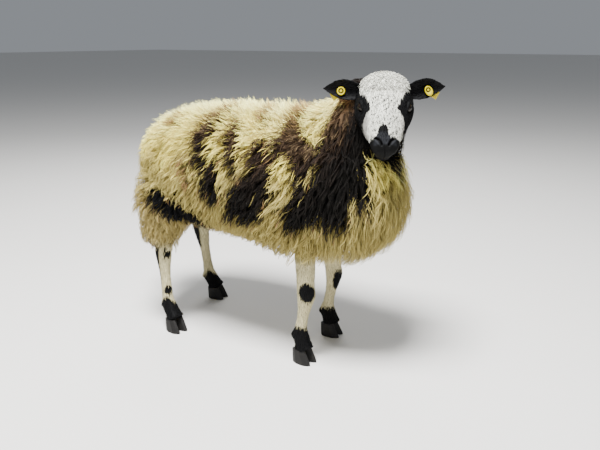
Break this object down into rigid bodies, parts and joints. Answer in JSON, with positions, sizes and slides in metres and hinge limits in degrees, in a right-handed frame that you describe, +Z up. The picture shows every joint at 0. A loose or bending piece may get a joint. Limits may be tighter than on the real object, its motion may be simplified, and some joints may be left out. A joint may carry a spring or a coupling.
{
  "type": "dutch spotted ram lamb",
  "caption": "Life-size standing ram lamb with a spotted fleece, hornless white face, dark ears with plain tags, and its head turned to its right.",
  "frame": {"origin": "on the floor under the middle of the animal's box", "axes": "+Z up, +X along the trunk towards the chest, +Y towards the animal's left side"},
  "size_m": [1.0268, 0.4136, 0.8237],
  "materials": {
    "fleece": "cream wool in pointed open locks with brown and black patches",
    "face_hair": "short white hair with black patches at the eyes and muzzle",
    "black_hair": "short black hair",
    "leg_hair": "short white hair with black spots and black pasterns",
    "hoof_horn": "dark horn, matt, dusty near the sole",
    "eye": "wet dark brown eye",
    "tag_plastic": "yellow moulded polyurethane, plain"
  },
  "bodies": {
    "root": {"front_right_leg": "leg_hair", "front_right_hoof_inner": "hoof_horn", "front_right_hoof_outer": "hoof_horn", "front_left_leg": "leg_hair", "front_left_hoof_inner": "hoof_horn", "front_left_hoof_outer": "hoof_horn", "hind_right_leg": "leg_hair", "hind_right_hoof_inner": "hoof_horn", "hind_right_hoof_outer": "hoof_horn", "hind_left_leg": "leg_hair", "hind_left_hoof_inner": "hoof_horn", "hind_left_hoof_outer": "hoof_horn", "head": "face_hair", "eye_left": "eye", "eye_right": "eye", "ear_left": "black_hair", "ear_right": "black_hair", "neck": "fleece", "chest": "fleece", "barrel": "fleece", "rump": "fleece", "thigh_left": "fleece", "thigh_right": "fleece", "tail": "fleece", "ear_tag_left_front": "tag_plastic", "ear_tag_left_rear": "tag_plastic", "ear_tag_right_front": "tag_plastic", "ear_tag_right_rear": "tag_plastic"}
  },
  "joints": []
}
